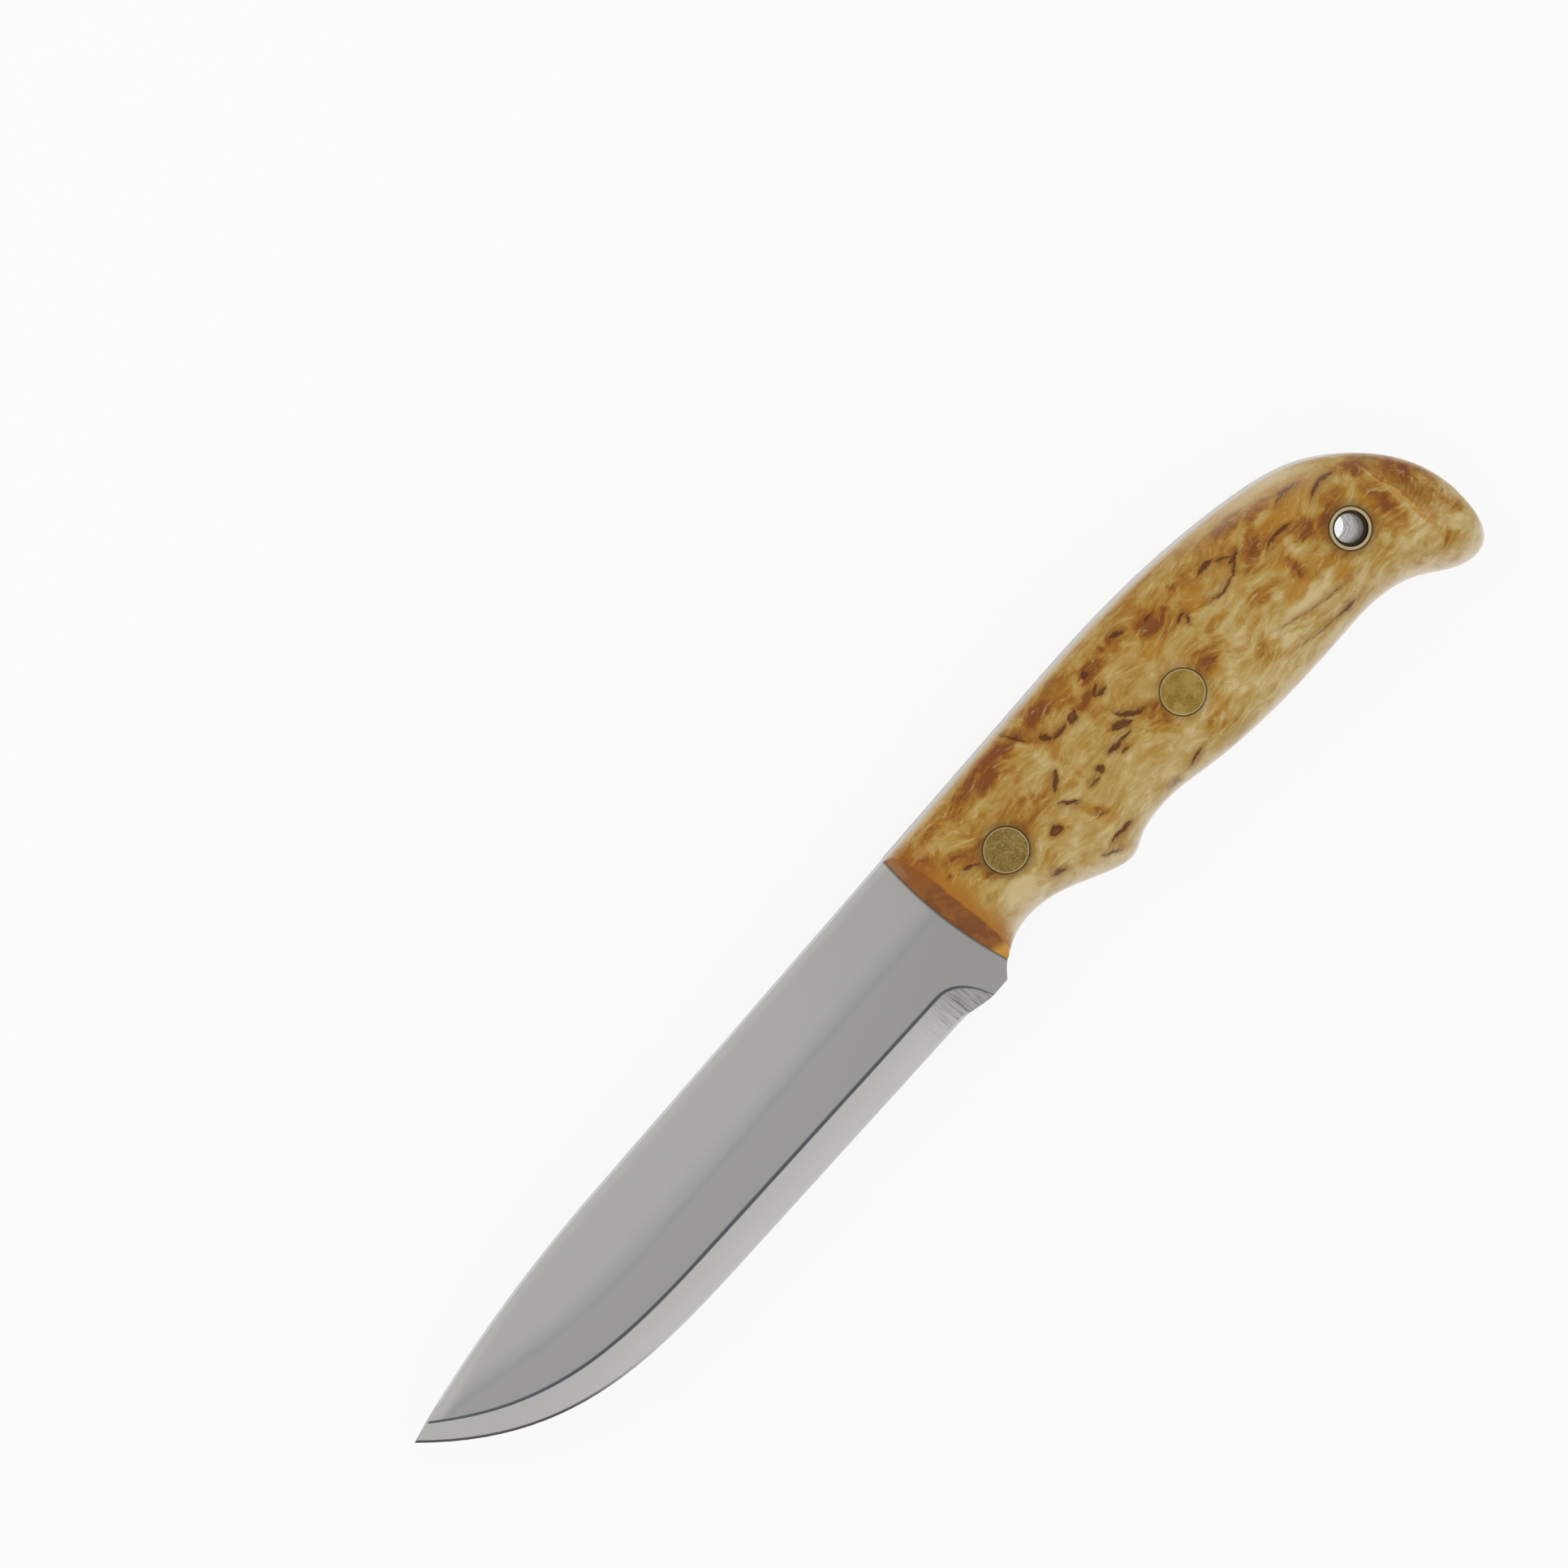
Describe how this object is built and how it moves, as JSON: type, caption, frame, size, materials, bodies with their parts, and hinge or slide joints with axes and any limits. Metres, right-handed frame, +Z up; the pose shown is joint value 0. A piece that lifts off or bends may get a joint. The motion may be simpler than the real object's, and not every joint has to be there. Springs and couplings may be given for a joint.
{
  "type": "whittling knife",
  "caption": "Fixed-blade whittling knife: full-tang steel blade with a single short bevel, hooked curly birch scales, brass rivets and a brass thong tube.",
  "frame": {"origin": "middle of the outline, on the plane that the lower scale's swell rests on", "axes": "+X from the tip to the butt, +Y from the edge to the spine, +Z up through the flats, out of the left side"},
  "size_m": [0.2442, 0.0434, 0.021],
  "materials": {
    "steel": "satin polished flats, finely ground bevels",
    "birch": "curly birch, oiled and polished",
    "brass": "aged, ground flush with the wood"
  },
  "bodies": {
    "root": {"blade": "steel", "left_scale": "birch", "right_scale": "birch", "front_rivet_sleeve": "brass", "front_rivet_screw": "brass", "rear_rivet_sleeve": "brass", "rear_rivet_screw": "brass", "lanyard_tube": "brass"}
  },
  "joints": []
}
